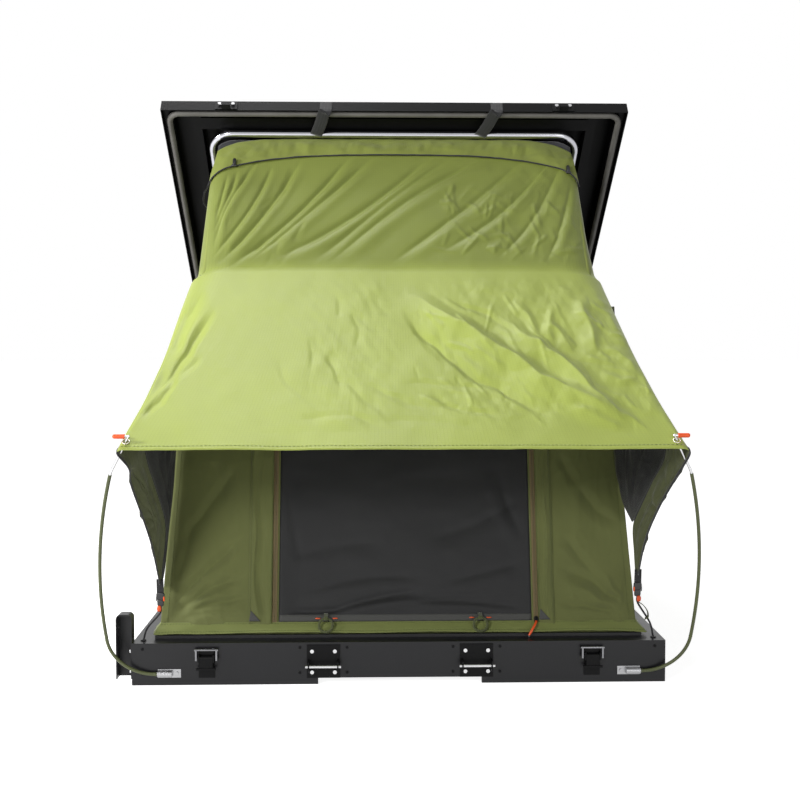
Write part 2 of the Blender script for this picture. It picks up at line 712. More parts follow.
WING_FOLD = {"at": 0.0125, "tilt": 0.0}
ABOVE_RIM = 0.1015
TIE_FOLD = {"at": ABOVE_RIM, "keep": 0.0135}
SKIRT_FOLD = {"at": ABOVE_RIM, "keep": 0.1}
STRAP_FOLD = {"at": ABOVE_RIM, "keep": 0.06}

# Fly from the lid over the ridge to the awning's front edge
CLOTH, THIN_CLOTH = 0.0012, 0.001
FLY_FRONT = np.array([-1.34, 0.581])
FLY_RIDGE = RIDGE + [-0.008, 0.012]
ROOF_TOP = lid_pt(0.108, 0.004)
ROOF_LEN = float(np.linalg.norm(ROOF_TOP - RIDGE))
ROOF_D = unit(ROOF_TOP - RIDGE)
ROOF_N = np.array([-ROOF_D[1], ROOF_D[0]])
FLY_HEAD = ROOF_TOP - 0.034 * ROOF_D + 0.013 * ROOF_N
RIDGE_BEND = 0.011
BEND_LOW = FLY_RIDGE - RIDGE_BEND * unit(FLY_RIDGE - FLY_FRONT)
BEND_HIGH = FLY_RIDGE + RIDGE_BEND * unit(FLY_HEAD - FLY_RIDGE)
V_LOW, V_HIGH = 0.54, 0.66  # where the bend over the ridge begins and ends
FLY_V = [0, 0.027, 0.133, 0.275, 0.445, 0.54, 0.60, 0.66, 0.75, 1.0]
FLY_LEFT = [0.6134, 0.607, 0.578, 0.5545, 0.541, 0.530, 0.519, 0.514, 0.510, 0.498]
FLY_RIGHT = [0.6205, 0.611, 0.584, 0.560, 0.541, 0.530, 0.522, 0.516, 0.505, 0.493]
FLY_DROP = math.radians(80)  # how far the fly's sides turn down
FLY_FLAT = 0.82  # share of the width that lies flat


def fly_yz(v):
    v = np.asarray(v, float)[..., None]
    k = np.clip((v - V_LOW) / (V_HIGH - V_LOW), 0, 1)
    bend = mix(mix(BEND_LOW, FLY_RIDGE, k), mix(FLY_RIDGE, BEND_HIGH, k), k)
    low, high = mix(FLY_FRONT, BEND_LOW, v / V_LOW), mix(BEND_HIGH, FLY_HEAD, (v - V_HIGH) / (1 - V_HIGH))
    return np.where(v < V_LOW, low, np.where(v > V_HIGH, high, bend))


def fly_normal(v):
    d = unit(fly_yz(np.minimum(1, v + 0.01)) - fly_yz(np.maximum(0, v - 0.01)))
    return np.stack([-d[..., 1], d[..., 0]], -1)


def fly_half(v, right=False):
    """Half width of the fly on one side, with the cut of its edges drawn in between the corners."""
    table = FLY_RIGHT if right else FLY_LEFT
    return sum(np.interp(v + k, FLY_V, table) for k in (-0.03, -0.015, 0, 0.015, 0.03)) / 5


def fly_round(v):
    """Radius at which the fly's sides turn down."""
    return np.where(v < 0.6, mix(0.006, 0.044, smooth(v / 0.6)), mix(0.044, 0.02, smooth((v - 0.6) / 0.4)))


def fly_points(u, v, lift=0.0):
    """Points of the fly without folds; u runs across from -1 to 1, v from the awning's edge to the top."""
    w, r, a = np.where(u > 0, fly_half(v, True), fly_half(v)), fly_round(v), np.abs(u)
    f = np.clip((a - FLY_FLAT) / (1 - FLY_FLAT), 0, 1) * FLY_DROP
    reach = 2.1 * r
    x = np.where(a <= FLY_FLAT, (w - reach) * a / FLY_FLAT, w - reach + (reach + lift) * np.sin(f))
    down = lift - (r + lift) * (1 - np.cos(f))
    yz = fly_yz(v) + fly_normal(v) * down[..., None]
    return xyz(np.sign(u) * x, yz)


UPPER_FOLDS = [
    (214, 232, 236, 172, 2.0, 5.0), (214, 246, 250, 168, 2.0, 5.0), (215, 257, 270, 170, 2.2, 5.0),
    (219, 262, 300, 162, 2.4, 6.0), (225, 269, 353, 154, 2.8, 7.0), (250, 261, 378, 154, 2.8, 6.0),
    (280, 257, 438, 153, 3.2, 7.0), (318, 258, 458, 155, 3.2, 5.0), (332, 260, 492, 154, 3.4, 6.5),
    (397, 261, 524, 158, 3.4, 6.0), (448, 250, 552, 158, 3.0, 6.0), (500, 256, 561, 168, 2.6, 4.0),
    (216, 222, 228, 176, 1.8, 4.0), (545, 262, 572, 184, 2.6, 4.0),
]
UPPER_CREASES = [
    ([(507, 217), (528, 190), (553, 160)], 4, 3, 4), ([(470, 222), (500, 205), (520, 214)], 1.6, 2, 2),
    ([(484, 240), (510, 236), (526, 262)], 1.6, 2, 2), ([(526, 215), (538, 236), (533, 262)], 1.8, 2, 2),
    *scatter(58, 13, (438, 192, 582, 266), 120, 90, 22, 1.9, 1.5),
    *scatter(14, 14, (215, 170, 300, 262), -55, 14, 30, 2.2, -1.5),
]
AWNING_FOLDS = [
    ([(403, 291), (418, 299), (451, 318), (487, 341), (514, 358), (541, 379), (571, 393), (602, 409),
      (634, 427)], 22, 13, 6.5),
    ([(500, 314), (520, 332), (540, 346), (571, 366), (590, 389), (610, 406), (636, 428)], 18, 10, 6),
    ([(577, 294), (588, 322), (599, 354)], 10, 9, 5), ([(604, 312), (617, 328), (632, 348)], 7, 3, 3),
    ([(401, 304), (418, 329), (443, 350), (476, 377), (499, 386), (525, 402), (552, 417)], -9, 3, 5),
    ([(449, 298), (487, 314), (520, 336)], -4, 3, 3), ([(484, 334), (489, 318), (493, 302)], 2.4, 2, 2),
    ([(545, 320), (562, 334), (575, 352)], 7, 6, 4), ([(556, 302), (548, 330), (556, 344)], 4, 4, 3),
    ([(565, 404), (590, 414), (628, 430)], 6, 5, 3), ([(512, 300), (530, 318), (545, 338)], 6, 5, 4),
    ([(640, 372), (618, 352), (600, 346)], 5, 4, 3), ([(655, 440), (630, 438), (596, 441)], 2, 3, 3),
    ([(600, 372), (622, 380), (640, 376)], 4, 4, 3), ([(178, 377), (160, 398), (142, 420)], -6, 3, 3),
    ([(206, 288), (190, 312), (181, 325), (158, 369), (140, 408)], -14, 4, 7),
    ([(216, 306), (192, 343), (173, 373), (150, 396)], -10, 6, 4), ([(336, 294), (341, 318)], -1.3, 3, 4),
    ([(133, 446), (155, 443), (180, 439)], -2, 3, 3), ([(202, 352), (185, 370), (166, 388)], -3, 4, 3),
    ([(309, 334), (313, 350), (311, 370)], -1.7, 2.2, 5), ([(325, 348), (334, 364), (340, 386)], -2, 2.2, 5),
    ([(350, 306), (357, 324), (357, 346)], -1.8, 2.2, 5), ([(276, 358), (288, 382), (308, 400)], -1.2, 3, 4),
    ([(344, 376), (362, 396), (384, 410)], -1.8, 2.5, 5), ([(400, 380), (450, 382), (500, 387)], -2.2, 3, 3),
    ([(360, 379), (388, 391), (408, 400), (436, 407)], -2.2, 3, 3),
    ([(426, 388), (446, 402), (460, 408), (506, 415)], -3.2, 3, 3),
    ([(290, 420), (349, 412), (396, 429)], -1.5, 3, 4), ([(232, 434), (330, 431), (420, 429)], -1.2, 3, 4),
    ([(372, 416), (430, 421), (492, 429)], -1.6, 3, 4), ([(416, 326), (428, 345), (454, 366)], -3, 3, 4),
    ([(434, 330), (452, 346), (464, 370)], -2.6, 3, 4),
    *scatter(46, 5, (430, 304, 640, 425), 38, 30, 34, 1.8, 2.4),
    *scatter(20, 8, (412, 310, 520, 410), 48, 40, 22, 1.5, -1.1),
    *scatter(14, 9, (290, 300, 410, 420), 64, 40, 30, 2.4, -0.5),
    *scatter(14, 11, (600, 300, 660, 440), 60, 40, 24, 1.8, 2.4),
]


def fly_displace(p, u, v):
    """How far the fly's folds stand out of it, in metres."""
    px, py = to_px(p)
    rim = smooth((1 - np.abs(u)) * 7) * smooth((1 - v) * 10 + 0.1)
    upper = smooth((v - V_HIGH + 0.02) * 14) * rim
    awning = smooth((V_LOW + 0.01 - v) * 14) * smooth(v * 9) * rim
    patchy = smooth((px - 430) / 110) * smooth(0.5 + 1.1 * fbm(px / 45, py / 45, 31))
    drawn = folds(px, py, UPPER_FOLDS) + 1.4 * crests(px, py, UPPER_CREASES)
    h = (drawn + 0.9 * crumple(px, py, 5, 12) * patchy) * upper
    busy_right = 0.88 * smooth((px - 400) / 90) * smooth((440 - py) / 40)
    busy_middle = 0.35 * smooth((px - 290) / 30) * smooth((410 - px) / 40)
    s, t = 0.8 * px + 0.6 * py, 0.8 * py - 0.6 * px
    packed = 1.5 * crumple(s / 1.9, t, 8, 15) + 0.6 * crumple(s / 1.5, t, 12, 7)
    h += (crests(px, py, AWNING_FOLDS) + packed * (0.12 + busy_right + busy_middle)) * awning
    h += 2.0 * fbm(px / 70, py / 60, 21) * rim
    sag = np.where(v < V_LOW, 9 * np.sin(math.pi * np.clip(v / V_LOW, 0, 1)) * (1 - u * u), 0)
    return (np.clip(h, -18, 22) - sag) / 1000


def fly_top(u):
    """Where the fly's upper hem runs, drawn down towards both ends."""
    return 0.985 - 0.075 * np.abs(u) ** 3.2


def fly_grid(nu, nv, v0=0.0, v1=1.0, lift=0.0):
    u, v = grid_of(np.linspace(-1, 1, nu), np.linspace(v0, v1, nv))
    v = np.where(v > V_HIGH, V_HIGH + (v - V_HIGH) * (fly_top(u) - V_HIGH) / (1 - V_HIGH), v)
    p = fly_points(u, v, lift)
    n = grid_normals(p)
    n *= np.sign(n[..., 2:3] + 1e-9)
    return p + n * fly_displace(p, u, v)[..., None]


FLY_NU, FLY_NV = 460, 400
fly_p = fly_grid(FLY_NU, FLY_NV)[::-1]
fly = lid_piece("fly_sheet", [slab_parts(fly_p, CLOTH)], "fly", "fly_cloth", "fly")
declare(1.31, 1.16, area_of(fly_p))

# Eyelets in the awning's front corners
AWNING_UP = np.array([0, 0.79, 0.613])
EYELET_AT, EYELET_R, EYELET_WIRE = np.array([0.5962, -1.3215, 0.5975]), 0.00735, 0.00145
eyelets = []
for side in (-1, 1):
    path, _ = ring_path(EYELET_AT * [side, 1, 1], AWNING_UP, EYELET_R, 40)
    eyelets.append(tube_parts(path, EYELET_WIRE))
lid_piece("grommet_rings", eyelets, "brass", "brass", "grommets")

# Front hem of the fly with its row of stitches
HEM_V, HEM_LIFT = 0.0105, 0.0009
SEAM_V0, SEAM_V1, SEAM_LIFT = 0.0082, 0.0098, 0.0016
hem = slab_parts(fly_grid(240, 4, 0.0, HEM_V, HEM_LIFT)[::-1], THIN_CLOTH)
lid_piece("fly_hem", [hem], "fly", "fly_cloth")
seam = fly_grid(260, 3, SEAM_V0, SEAM_V1, SEAM_LIFT)[:, 1]
rows = stitch_parts(seam, (0, -0.6, 0.75), 0.009, 0.006)
lid_piece("fly_stitching", rows, "thread_fly", "fly_cloth")

# Cloth between the ridge and the hoop, green below a curve and black above it
HOOP_X, HOOP_R, HOOP_BEND = 0.51, 0.0105, 0.06
ROOF_HALF = 0.488  # half width of the roof cloth at the hoop
ROOF_AXES = (X_AXIS, (0, *ROOF_D), (0, *ROOF_N))


def body_w(z):
    """Half width of the tent body, drawn in above the bow's corners."""
    return WALL_X - WALL_TILT * (z - WALL_Z) - 0.026 * smooth((z - 0.9) / 0.09)


def roof_grid(nu, nv, s0, s1, out=0.0):
    """Grid on the roof cloth's plane; s0 and s1 give the span along it for each place across."""
    u, k = grid_of(np.linspace(-1, 1, nu), np.linspace(0, 1, nv))
    s = mix(s0(u), s1(u), k)
    x = u * mix(body_w(RIDGE[1]) - 0.004, ROOF_HALF, s / ROOF_LEN)
    yz = RIDGE + s[..., None] * ROOF_D + (out - CLOTH / 2) * ROOF_N
    p = xyz(x, yz)
    px, py = to_px(p)
    edge = smooth((1 - np.abs(u)) * 8) * smooth((ROOF_LEN - s) * 30)
    lift = (0.0012 * fbm(px / 30, py / 12, 41) + 0.0010 * (creases(px / 40, py / 16, 43) - 0.3)) * edge
    p[..., 1:] += lift[..., None] * ROOF_N
    return p


def roof_top(u):
    """Where the roof cloth ends under the hoop with its round corners."""
    w = HOOP_X - HOOP_R - 0.003
    over = np.clip((np.abs(u) * w - (HOOP_X - HOOP_BEND)) / HOOP_BEND, 0, 0.97)
    return ROOF_LEN - HOOP_BEND * (1 - np.sqrt(1 - over**2))


def band_top(u):
    return np.minimum(roof_top(u) - 0.002, ROOF_LEN - 0.001 - 0.045 * np.abs(u) ** 10 - 0.006 * u**2)


roof_p = roof_grid(160, 60, lambda u: 0.002 + 0 * u, band_top)[::-1]
roof = lid_piece("roof_cloth", [slab_parts(roof_p, CLOTH)], "band", "canvas", "roof_wall")
declare(1.06, 0.49, area_of(roof_p))
panel_p = roof_grid(160, 10, lambda u: band_top(u) - 0.012, roof_top, -0.0022)[::-1]
panel = lid_piece("hoop_panel", [slab_parts(panel_p, THIN_CLOTH)], "black_cloth", "canvas")
declare(1.02, 0.06, area_of(panel_p))

# Band sewn over the fly's upper hem, with a dark taped edge, two toggles and a loop
BAND_NU = 240
BAND_TAPE, LOOP_TAPE = (0.0034, 0.0022), (0.008, 0.0014)  # width and thickness
TOGGLE, TOGGLE_FOOT = (0.010, 0.026, 0.008), (0.016, 0.006, 0.006)
bu, bk = grid_of(np.linspace(-1, 1, BAND_NU), np.linspace(0, 1, 26))
low = fly_points(bu, fly_top(bu) - 0.016, 0.0045)
high_s = band_top(bu) + 0.0055
high = xyz(bu * (ROOF_HALF + 0.0005), RIDGE + high_s[..., None] * ROOF_D + 0.0012 * ROOF_N)
band_p = mix(low, high, bk[..., None])
px, py = to_px(band_p)
puff = (0.004 + 0.0022 * crumple(px, py, 15, 12)) * np.sin(math.pi * bk) + 0.0016 * fbm(px / 22, py / 9, 45)
band_p[..., 1:] += puff[..., None] * ROOF_N
band_p = band_p[::-1]
band = lid_piece("top_band", [slab_parts(band_p, CLOTH)], "band", "fly_cloth")
declare(1.10, 0.11, area_of(band_p))
tape = ribbon_parts(band_p[:, 0] + [0, -0.0012, 0.0006], (0, *ROOF_D), *BAND_TAPE)
lid_piece("band_edge", [tape], "web", "webbing")
toggles = []
for u in (-0.80, 0.89):
    at = band_p[int((1 - u) / 2 * (BAND_NU - 1)), 3] + [0, *(ROOF_N * 0.005)]
    toggles.append(pillow_parts(at, ROOF_AXES, TOGGLE, 3, 8))
    toggles.append(pillow_parts(at - [0, *(ROOF_D * TOGGLE[1] / 2)], ROOF_AXES, TOGGLE_FOOT, 3, 8))
lid_piece("band_toggles", toggles, "plastic", "black_plastic")
LOOP_ROUTE = [(0, 0, 0), (-0.010, -0.004, -0.020), (-0.012, -0.004, -0.045), (0.002, -0.002, -0.066)]
hang = curve_pts(band_p[-1, 0] + LOOP_ROUTE, 24)
lid_piece("band_loop", [ribbon_parts(hang, (0.3, 1, 0.2), *LOOP_TAPE)], "web", "webbing")

# Front wall with its door
WALL_UP = np.array([0, math.sin(WALL_LEAN), math.cos(WALL_LEAN)])
WALL_OUT = np.array([0, -math.cos(WALL_LEAN), math.sin(WALL_LEAN)])
WALL_AXES = (X_AXIS, WALL_UP, WALL_OUT)
STITCH_OUT = (0, -0.97, 0.24)
DOOR_TOP, DOOR_CUT = SILL + DOOR_H, 0.06
SIDE_COLS, DOOR_COLS = 89, 39
WALL_FOLDS = [
    ([(171, 608), (192, 586), (220, 559), (245, 534)], -11, 5, 4),
    ([(173, 615), (205, 592), (226, 582), (249, 576)], -10, 4, 4),
    ([(188, 612), (215, 603), (252, 598)], -7, 3, 3), ([(181, 547), (205, 512), (240, 462)], -7, 7, 5),
    ([(176, 600), (200, 582), (218, 566)], 5, 4, 4), ([(182, 608), (208, 598), (230, 590)], 5, 3, 3),
    ([(172, 590), (186, 560), (190, 516)], -5, 4, 5), ([(176, 618), (206, 614), (246, 613)], -4, 2.5, 2.5),
    ([(226, 508), (214, 456)], -4, 6, 5), ([(568, 585), (595, 597), (624, 611)], 7, 4, 5),
    ([(556, 567), (577, 574), (593, 582), (607, 593), (626, 608)], -11, 6, 4),
    ([(551, 602), (588, 607.5), (629, 612.5)], -9, 3, 4), ([(561, 535), (583, 561), (603, 588)], -7, 5, 5),
    ([(604, 572), (613, 590), (625, 606)], 6, 3, 4), ([(576, 485), (599, 513), (624, 524)], -7, 6, 5),
    ([(558, 452), (577, 488)], -5, 5, 5), ([(622, 474), (612, 486), (616, 500)], -3, 3, 3),
    ([(560, 616), (600, 617), (634, 616)], -3, 2.5, 2.5),
]
DOOR_FOLDS = [
    (284, 613, 345, 607, 2.6, 5.0), (330, 611, 424, 592, 3.0, 5.0), (410, 604, 524, 606, 2.6, 4.0),
    (300, 592, 420, 578, 4.0, 3.0), (440, 584, 524, 560, 4.0, 3.0), (430, 540, 522, 500, 6.0, 3.0),
    (290, 560, 380, 540, 6.0, 2.5), (360, 604, 500, 596, 3.0, 3.0), (500, 470, 524, 540, 4.0, 3.0),
    (288, 470, 300, 560, 4.0, 2.5),
]


def wall_pt(x, h, out=0.0):
    """Point on the front wall: x across, h up the cloth, out from it."""
    y = WALL_Y + h * WALL_UP[1] + out * WALL_OUT[1]
    z = WALL_Z + h * WALL_UP[2] + out * WALL_OUT[2]
    return np.stack(np.broadcast_arrays(x, y, z), -1)


def wall_half(h):
    return body_w(WALL_Z + h * WALL_UP[2])


def wall_out(x, h):
    """How far the wall's cloth stands out of its plane."""
    px, py = to_px(wall_pt(x, h))
    edge = smooth((wall_half(h) - np.abs(x)) * 22) * smooth(h * 40 + 0.15) * smooth((WALL_LEN - h) * 12)
    to_door = np.maximum(np.maximum(DOOR_L - x, x - DOOR_R), np.maximum(SILL - h, h - DOOR_TOP))
    edge = edge * smooth(np.clip(to_door / 0.03, 0, 1) * 0.9 + 0.1)
    lift = crests(px, py, WALL_FOLDS) + 1.6 * fbm(px / 26, py / 44, 51)
    lift += 1.8 * (creases(px / 40, py / 60, 55) - 0.3)
    return (2.2 + lift) * edge / 1000


def on_wall(x, h, over):
    """Point the given distance over the wall's cloth."""
    return wall_pt(x, h, wall_out(x, h) + over)


def door_sides(h):
    """Left and right edge of the door, with its cut upper corners."""
    cut = np.clip(h - (DOOR_TOP - DOOR_CUT), 0, DOOR_CUT)
    return DOOR_L + cut, DOOR_R - cut


def steps(stops, counts):
    """Values that run from stop to stop in the given numbers of steps."""
    spans = [np.linspace(a, b, n + 1)[1:] for a, b, n in zip(stops, stops[1:], counts)]
    return np.concatenate([[stops[0]], *spans])


h_rows = steps((0, SILL, DOOR_TOP - DOOR_CUT, DOOR_TOP, WALL_LEN), (8, 169, 8, 21))
left, right = door_sides(h_rows)
half = wall_half(h_rows)
wall_x = steps((-half, left, right, half), (SIDE_COLS, DOOR_COLS, SIDE_COLS))
wall_h = np.broadcast_to(h_rows, wall_x.shape)
cell_h = (wall_h[:-1, :-1] + wall_h[1:, 1:]) / 2
keep = (cell_h < SILL) | (cell_h > DOOR_TOP)
keep[:SIDE_COLS] = True
keep[SIDE_COLS + DOOR_COLS:] = True
wall = slab_parts(on_wall(wall_x, wall_h, -CLOTH / 2), CLOTH, np.stack([wall_x, wall_h], -1), keep)
front_wall = base_piece("front_wall_cloth", [wall], "canvas", "canvas", "front_wall")
declare(1.17, 0.93, 0.575)


def door_out(x, h):
    """How far the door's cloth stands out of the wall's plane."""
    px, py = to_px(wall_pt(x, h))
    across = smooth((x - DOOR_L) * 18) * smooth((DOOR_R - x) * 18)
    upright = smooth((h - SILL) * 40) * smooth((DOOR_TOP - h) * 18)
    lift = folds(px, py, DOOR_FOLDS) + 2.0 * fbm(px / 90, py / 40, 61)
    return (lift - 3.0) * across * upright / 1000


DOOR_GAP, DOOR_THICK = 0.0004, 0.0008
h_rows = np.linspace(SILL + DOOR_GAP, DOOR_TOP - DOOR_GAP, 130)
left, right = door_sides(h_rows)
door_x = np.linspace(left + DOOR_GAP, right - DOOR_GAP, 110)
door_h = np.broadcast_to(h_rows, door_x.shape)
door_p = wall_pt(door_x, door_h, door_out(door_x, door_h) - 0.0008)
door = base_piece("door_cloth", [slab_parts(door_p, DOOR_THICK)], "door", "mesh", "door_panel")
declare(0.63, 0.74, area_of(door_p))
x, h = grid_of(np.linspace(DOOR_L + 0.002, DOOR_R - 0.002, 90), np.linspace(SILL + 0.001, SILL + 0.017, 5))
hem = slab_parts(wall_pt(x, h, door_out(x, h) + 0.0005), CLOTH)
base_piece("door_hem", [hem], "patch", "mesh")

# Flaps beside the door, sewn along the seams and loose towards the zips
SEAM_L, SEAM_R, FLAP_GAP = -0.3658, 0.3784, 0.0165
FLAP_LOW, FLAP_HIGH, FLAP_LOOSE = 0.004, 0.80, 0.006
flaps, seams = [], []
for x0, x1, seed in ((SEAM_L, DOOR_L - FLAP_GAP, 71), (SEAM_R, DOOR_R + FLAP_GAP, 75)):
    fx, fh = grid_of(np.linspace(0, 1, 26), np.linspace(FLAP_LOW, FLAP_HIGH, 150))
    x = mix(x0, x1, fx)
    crease = 0.30 + 0.18 * np.sin(fh * 9 + seed) + 0.12 * np.sin(fh * 23 + seed)
    roll = np.exp(-np.abs(fx - crease) / np.where(fx > crease, 0.07, 0.22))
    roll -= 0.5 * bell((fx - crease - 0.3) / 0.10)
    loose = FLAP_LOOSE * smooth(fx * 5) * smooth((fh - 0.03) * 22) * (0.30 + roll)
    on_cloth = 0.0012 + wall_out(x, fh)
    out = on_cloth + loose + 0.0012 * fbm(fx * 3, fh * 14, seed)
    g = wall_pt(x, fh, np.maximum(out, on_cloth))
    flaps.append(slab_parts(g if x1 > x0 else g[::-1], THIN_CLOTH))
    for k in (2, -2):
        seams += stitch_parts(wall_pt(x[k], fh[k], out[k] + 0.0008), STITCH_OUT)
base_piece("door_flaps", flaps, "canvas", "canvas")
for side in (-1, 1):
    h = np.linspace(0.01, 0.86, 160)
    seams += stitch_parts(on_wall(side * (wall_half(h) - 0.016), h, 0.0003), STITCH_OUT)
base_piece("wall_stitching", seams, "thread", "canvas")

# Grey patches at the flaps' lower corners: the way across, up and out of their three corners
PATCH_X = 0.352
PATCH_CORNERS = np.array([(-0.012, 0.036, 0.0058), (0.016, 0.036, 0.0058), (-0.008, 0.062, 0.0064)])
patches = []
for x in (-PATCH_X, PATCH_X):
    left, right, tip = wall_pt(*(PATCH_CORNERS + [x, 0, 0]).T)
    q, t = grid_of(np.linspace(0, 1, 8), np.linspace(0, 0.96, 8))
    g = mix(mix(left, tip, t[..., None]), mix(right, tip, t[..., None]), q[..., None])
    patches.append(slab_parts(g, CLOTH))
base_piece("corner_patches", patches, "patch", "mesh")

# Zips: tape with rows of teeth, and the slider with its pull
ZIP_OFF, TOOTH_PITCH, TOOTH_STEP = 0.010, 0.0032, 0.0012
ZIP_TAPE, TOOTH = (0.0118, 0.0008), (0.0042, 0.0019, 0.0016)
SLIDER, PULL_END, PULL_D = (0.0104, 0.0165, 0.0042), (0.006, 0.009, 0.005), 0.0058
TOOTH_AXES = (X_AXIS, (0, 0.24, 0.97), STITCH_OUT)
zip_x = DOOR_R + ZIP_OFF
tape, teeth = [], []
for x in (DOOR_L - ZIP_OFF, zip_x):
    h = np.linspace(SILL - 0.014, DOOR_TOP - 0.08, 120)
    tape.append(ribbon_parts(on_wall(x, h, 0.0008), X_AXIS, *ZIP_TAPE))
    h = np.arange(SILL - 0.012, DOOR_TOP - 0.082, TOOTH_PITCH)
    for k, at in enumerate(on_wall(x, h, 0.0016)):
        at = at + X_AXIS * (TOOTH_STEP if k % 2 else -TOOTH_STEP)
        teeth.append(pillow_parts(at, TOOTH_AXES, TOOTH, 3, 4))
base_piece("zip_tape", tape, "zip", "zip", "door_zips")
base_piece("zip_teeth", teeth, "zip_teeth", "zip")
bridge = [wall_pt(zip_x, SILL + h, out) for h, out in ((0.007, 0.005), (0.003, 0.0082), (-0.004, 0.0068))]
slider = [pillow_parts(wall_pt(zip_x, SILL + 0.002, 0.0040), WALL_AXES, SLIDER, 3.2),
          tube_parts(curve_pts(bridge, 12), 0.0011, 8)]
base_piece("zip_slider_body", slider, "bracket", "steel", "zip_slider", body="zip_slider")
pull_path = curve_pts([wall_pt(zip_x, SILL - 0.002, 0.0080), (zip_x - 0.005, -1.0450, 0.1280),
                       (zip_x - 0.013, -1.0540, 0.1180), (zip_x - 0.021, -1.0560, 0.1050)], 30)
cord = tube_parts(pull_path, PULL_D / 2, 10)
pull = base_piece("zip_pull", [cord], "orange", "orange", body="zip_slider", **TIE_FOLD)
end = pillow_parts(pull_path[-1] - WALL_UP * 0.002, WALL_AXES, PULL_END, 2.6, 8)
knot = base_piece("zip_pull_end", [end], "plastic", "black_plastic", body="zip_slider", **TIE_FOLD)

# Ring ties on the sill with their orange bar tacks
TIE_MID, TIE_HALF, TIE_R, TIE_CORD = 0.009, 0.187, 0.0165, 0.0029
TIE_UP = np.array([0, 0.35, 0.937])
TIE_TAPE, TACK = (0.010, 0.0012), (0.013, 0.003, 0.002)
rings, tacks = [], []
for side in (-1, 1):
    x = TIE_MID + side * TIE_HALF
    centre = np.array([x, -1.0440, 0.1295])
    ring, a = ring_path(centre, TIE_UP, TIE_R, 48)
    rings.append(tube_parts(ring + WALL_OUT * (0.0010 * np.sin(3 * a))[:, None], TIE_CORD, 10))
    top = centre + TIE_UP * TIE_R
    band_route = [wall_pt(x, SILL + 0.020, 0.002), top + [0, -0.0035, 0.0035], top + [0, -0.0040, -0.0030],
                  top + [0, 0.0040, -0.0050], wall_pt(x, SILL + 0.004, 0.002)]
    rings.append(ribbon_parts(curve_pts(band_route, 24), X_AXIS, *TIE_TAPE))
    for dx in (-0.020, 0.022):
        at = wall_pt(x + dx, SILL + 0.008, 0.0030)
        tacks.append(pillow_parts(at, WALL_AXES, TACK, 3, 6))
base_piece("ring_ties", rings, "web_olive", "fly_cloth", "door_ties", **TIE_FOLD)
base_piece("tie_tacks", tacks, "orange", "orange")

# Skirt round the foot of the wall, hanging over the track and drooping at both corners
SKIRT_TOP, SKIRT_LOW = 0.1345, 0.1125
plan = curve_pts([(-0.592, -0.90), (-0.592, -0.98), (-0.5905, -1.034), (-0.578, -1.0465), (-0.5, -1.0475),
                  (-0.2, -1.0475), (0.2, -1.0475), (0.5, -1.0475), (0.584, -1.0475), (0.600, -1.036),
                  (0.6025, -0.98), (0.6025, -0.90)], 420)
head = np.clip(plan, [-0.577, -1.0262], [0.577, 0])
run = run_of(plan)
left_at, right_at = run[np.argmin(np.abs(plan[:, 0] + 0.583))], run[-1] - 0.14
corner = bell((run - left_at) / 0.03) + bell((run - right_at) / 0.03)
r, k = grid_of(run, np.linspace(0, 1, 16))
ripple = 0.0016 * np.sin(r * 31) + 0.0022 * noise(r * 12, k * 2, 83) + 0.0012 * noise(r * 40, k * 4, 85)
out = ripple * k + 0.0025 * np.sin(math.pi * k) + 0.004 * corner[:, None] * k
xy = mix(head[:, None], plan[:, None], k[..., None] ** 1.5) + unit(plan - head)[:, None] * out[..., None]
low_z = SKIRT_LOW + 0.0012 * np.sin(run * 17) - 0.0030 * corner
z = mix(SKIRT_TOP, low_z[:, None], k)
skirt_p = np.concatenate([xy, z[..., None]], -1)[::-1]
slab = slab_parts(skirt_p, THIN_CLOTH)
skirt = base_piece("skirt_cloth", [slab], "canvas_light", "fly_cloth", "wall_skirt", **SKIRT_FOLD)
declare(1.45, 0.036, area_of(skirt_p))
rows = []
for k in (2, 12):
    rows += stitch_parts(skirt_p[:, k] + [0, -0.0007, 0], (0, -1, 0.2))
base_piece("skirt_stitching", rows, "thread", "canvas", **SKIRT_FOLD)

# Side walls, with folds placed by y and z in steps of SIDE_UNIT
SIDE_UNIT = 0.0025
SIDE_FOLDS = [
    ([(-400, 56), (-300, 180), (-220, 340)], -6, 6, 4), ([(-392, 52), (-240, 128), (-80, 240)], -6, 4, 6),
    ([(400, 46), (200, 88), (-40, 152)], -5, 5, 4), ([(-290, 480), (-288, 360), (-320, 240)], 5, 6, 5),
    ([(-240, 440), (-140, 300), (-80, 180)], -5, 5, 6), ([(40, 288), (60, 180), (20, 80)], -5, 6, 5),
    ([(200, 180), (180, 112), (220, 56)], -4, 5, 4), ([(-380, 48), (-220, 70), (-60, 90)], -4, 4, 4),
    ([(-340, 330), (-270, 300), (-200, 310)], -3, 5, 5),
]
SIDE_FRONT, SIDE_REAR = WALL_Y + 0.0032, 1.031
SIDE_CORNERS = np.array([(SIDE_FRONT, WALL_Z), RIDGE + [0.0052, 0], lid_pt(0.114, -0.008),
                         lid_pt(LID_LEN - 0.12, -0.008), (SIDE_REAR, WALL_Z)])
SIDE_NU, SIDE_NV = 260, 150


def side_points(yz, side, over=0.0):
    """Points of a side wall's cloth, or over it, from their y and z."""
    y, z = yz[..., 0], yz[..., 1]
    top = RIM_Z + (HINGE[0] - y) * ST / CT
    edge = smooth((z - WALL_Z) * 14) * smooth((top - z) * 6) * smooth((y - WALL_Y) * 4)
    lift = 4.0 * fbm(y * 3.5, z * 4, 91 + side) - crests(y / SIDE_UNIT, z / SIDE_UNIT, SIDE_FOLDS)
    x = side * (body_w(z) - 0.0008 - np.clip(5 + lift, 0.2, 16) * edge / 1000 + over)
    return xyz(x, yz)


